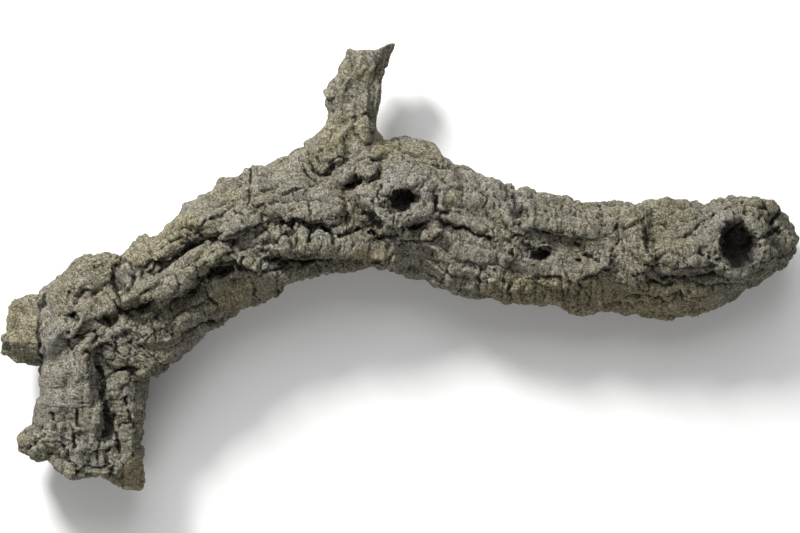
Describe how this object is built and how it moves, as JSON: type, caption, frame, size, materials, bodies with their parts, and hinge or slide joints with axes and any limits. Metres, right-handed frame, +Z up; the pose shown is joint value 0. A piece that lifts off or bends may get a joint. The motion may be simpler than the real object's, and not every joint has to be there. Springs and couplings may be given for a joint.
{
  "type": "cork branch",
  "caption": "Bent cork oak branch lying on its side, with a hollow torn foot, two side stubs, knot holes and deeply fissured bark.",
  "frame": {"origin": "on the table, under the middle of the branch's bounding box", "axes": "+X along the branch to its closed end, +Y to the side where the upright stub grows, +Z up from the table"},
  "size_m": [0.678, 0.3751, 0.12],
  "materials": {
    "cork_bark": "matte, rough, weathered grey-olive bark with deep dark fissures"
  },
  "bodies": {
    "root": {"foot_limb": "cork_bark", "left_stub": "cork_bark", "arch_limb": "cork_bark", "upright_stub": "cork_bark", "right_limb": "cork_bark"}
  },
  "joints": []
}
